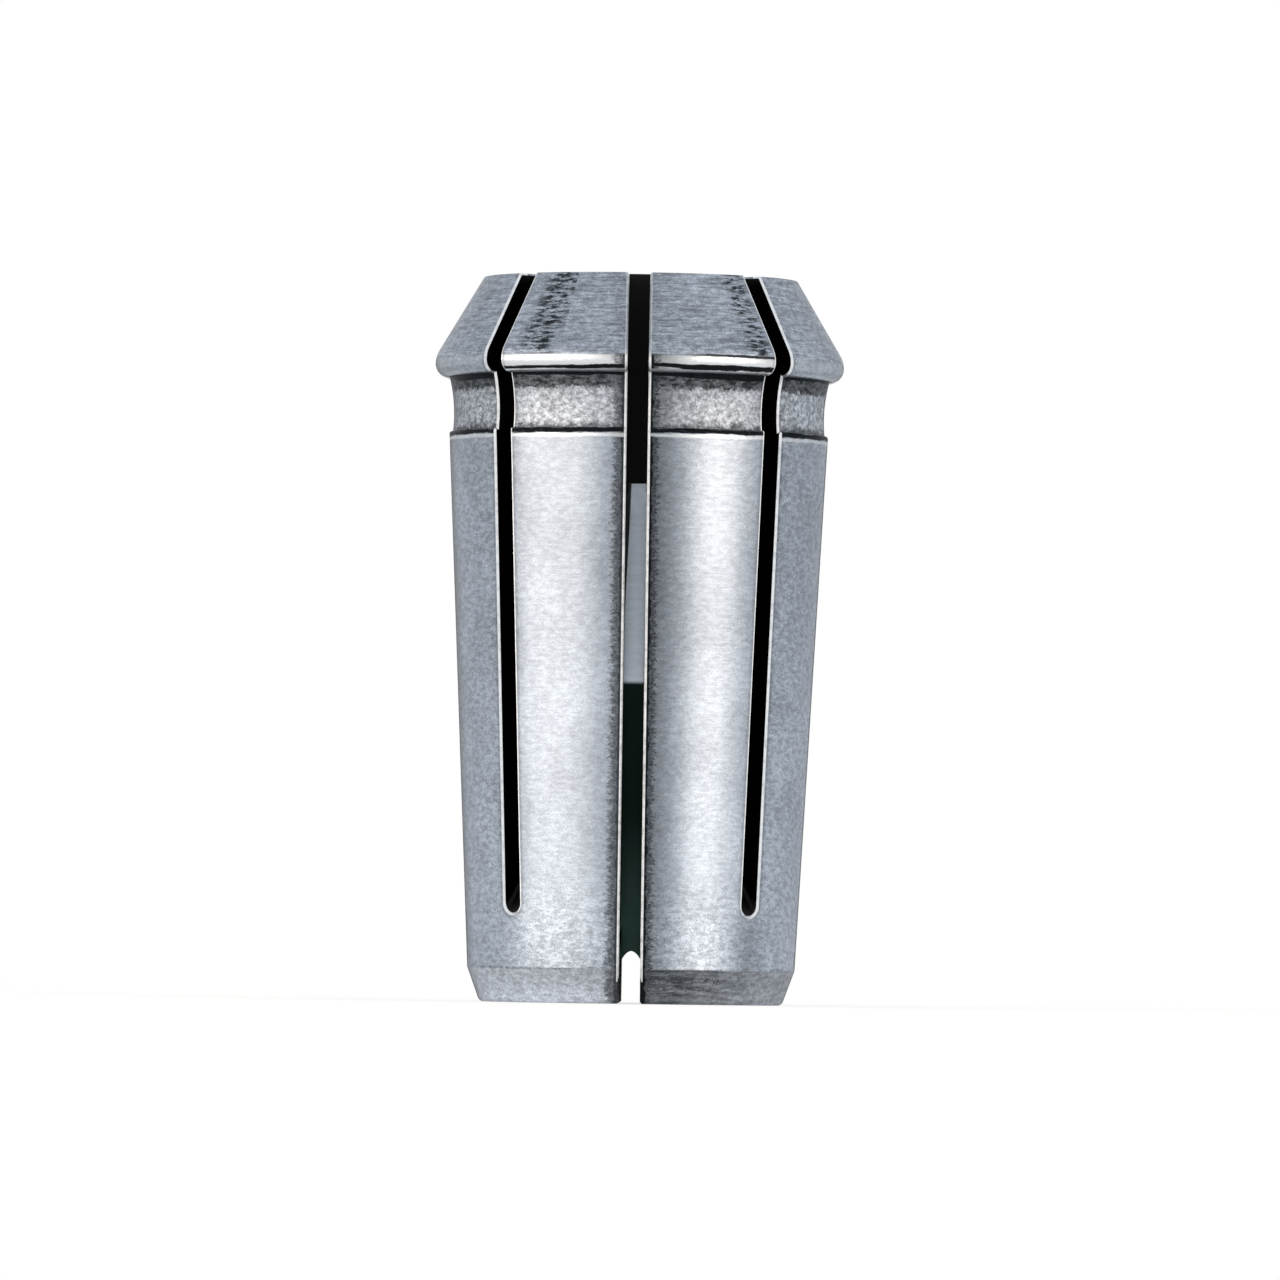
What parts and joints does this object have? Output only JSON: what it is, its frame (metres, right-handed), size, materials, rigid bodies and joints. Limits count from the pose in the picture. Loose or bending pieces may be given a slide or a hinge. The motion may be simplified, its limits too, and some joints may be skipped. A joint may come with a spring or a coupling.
{
  "type": "collet",
  "caption": "Slotted spring collet with a conical nose, a rim, an extraction groove and a slow-taper body; squeezes a tool shank in its bore.",
  "frame": {"origin": "centre of the flat rear face at the narrow end, on the axis of the bore", "axes": "+Z along the bore from the narrow rear end to the conical nose; +X and +Y each pass through a short double slot"},
  "size_m": [0.035, 0.035, 0.0619],
  "materials": {
    "ground_steel": "satin ground and hardened steel, polished on the rim"
  },
  "bodies": {
    "root": {"collet": "ground_steel"}
  },
  "joints": []
}
